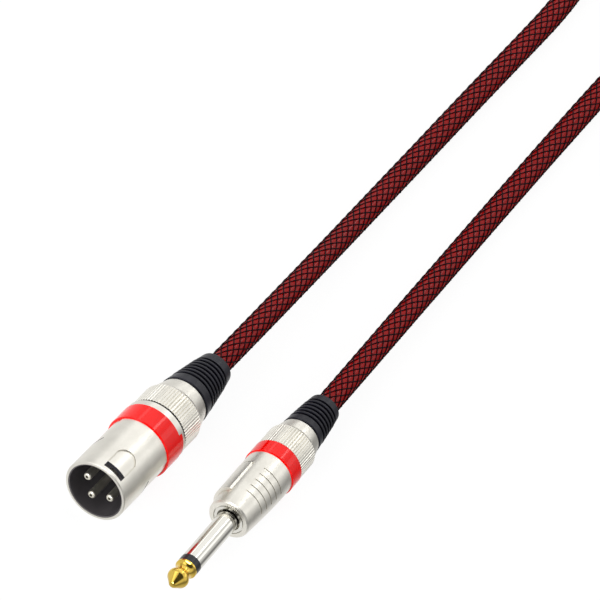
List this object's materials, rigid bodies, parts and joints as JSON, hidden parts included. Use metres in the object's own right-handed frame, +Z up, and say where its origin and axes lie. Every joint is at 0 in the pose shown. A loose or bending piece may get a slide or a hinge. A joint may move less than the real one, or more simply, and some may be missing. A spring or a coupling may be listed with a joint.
{
  "type": "instrument cable",
  "caption": "Instrument cable: red cord under a black net, with an XLR plug and a 6.35 mm jack plug whose knurled nuts unscrew, wound into a tied coil.",
  "frame": {"origin": "on the surface the plugs lie on, under the middle of the two plugs", "axes": "+Z up, +Y from the plugs' front ends along the cords to the coil, the XLR plug on the -X side"},
  "size_m": [0.123, 0.4366, 0.0198],
  "materials": {
    "satin_nickel": "satin nickel plating on a metal casting",
    "bright_nickel": "polished nickel plating",
    "tinned_brass": "tinned",
    "silver_contact": "silver plating on brass",
    "gold_contact": "gold plating on brass",
    "red_plastic": "glossy moulded red",
    "black_plastic": "moulded black",
    "clear_plastic": "clear thin-wall tube",
    "white_insulation": "natural polyethylene",
    "black_rubber": "ribbed moulded rubber",
    "red_netted_jacket": "red jacket under an open black net",
    "black_strap": "hook-and-loop tape"
  },
  "bodies": {
    "root": {"xlr_shell": "satin_nickel", "jack_barrel": "satin_nickel", "xlr_insert": "black_plastic", "jack_insulator_ring": "black_plastic", "jack_rod_insulator": "black_plastic", "jack_lug_washer": "black_plastic", "xlr_chuck": "black_plastic", "jack_chuck": "black_plastic", "xlr_ground_spring": "bright_nickel", "jack_front_bush": "bright_nickel", "jack_sleeve": "bright_nickel", "jack_ground_lug": "tinned_brass", "jack_tip_lug": "tinned_brass", "jack_tip_rod": "tinned_brass", "xlr_color_ring": "red_plastic", "jack_color_ring": "red_plastic", "xlr_pin_1": "silver_contact", "xlr_pin_2": "silver_contact", "xlr_pin_3": "silver_contact", "jack_tip": "gold_contact", "jack_insulating_tube": "clear_plastic", "xlr_cord_core": "white_insulation", "jack_cord_core": "white_insulation", "xlr_hot_lead": "white_insulation", "jack_hot_lead": "white_insulation", "xlr_shield_lead": "tinned_brass", "jack_shield_lead": "tinned_brass", "xlr_ground_link": "tinned_brass", "cord_from_xlr": "red_netted_jacket", "cord_from_jack": "red_netted_jacket", "cord_coil": "red_netted_jacket", "coil_tie_near": "black_strap", "coil_tie_far": "black_strap"},
    "xlr_boot": {"xlr_boot": "black_rubber"},
    "xlr_nut": {"xlr_nut": "satin_nickel"},
    "jack_boot": {"jack_boot": "black_rubber"},
    "jack_nut": {"jack_nut": "satin_nickel"}
  },
  "joints": [
    {"name": "xlr_boot_slide", "type": "slide", "parent": "root", "child": "xlr_boot", "axis": [0, 1, 0], "range_m": [0, 0.005]},
    {"name": "xlr_nut_turn", "type": "hinge", "parent": "xlr_boot", "child": "xlr_nut", "pos_m": [-0.01418, -0.00183, 0.0099], "axis": [0, 1, 0], "range_deg": [0, 1800]},
    {"name": "jack_boot_slide", "type": "slide", "parent": "root", "child": "jack_boot", "axis": [-0.0441, 0.999, 0], "range_m": [0, 0.005]},
    {"name": "jack_nut_turn", "type": "hinge", "parent": "jack_boot", "child": "jack_nut", "pos_m": [0.01592, 0.02154, 0.0077], "axis": [-0.0441, 0.999, 0], "range_deg": [0, 1800]}
  ],
  "couplings": [
    {"joint": "xlr_boot_slide", "follows": "xlr_nut_turn", "m_per_rad": 0.00015915},
    {"joint": "jack_boot_slide", "follows": "jack_nut_turn", "m_per_rad": 0.00015915}
  ]
}
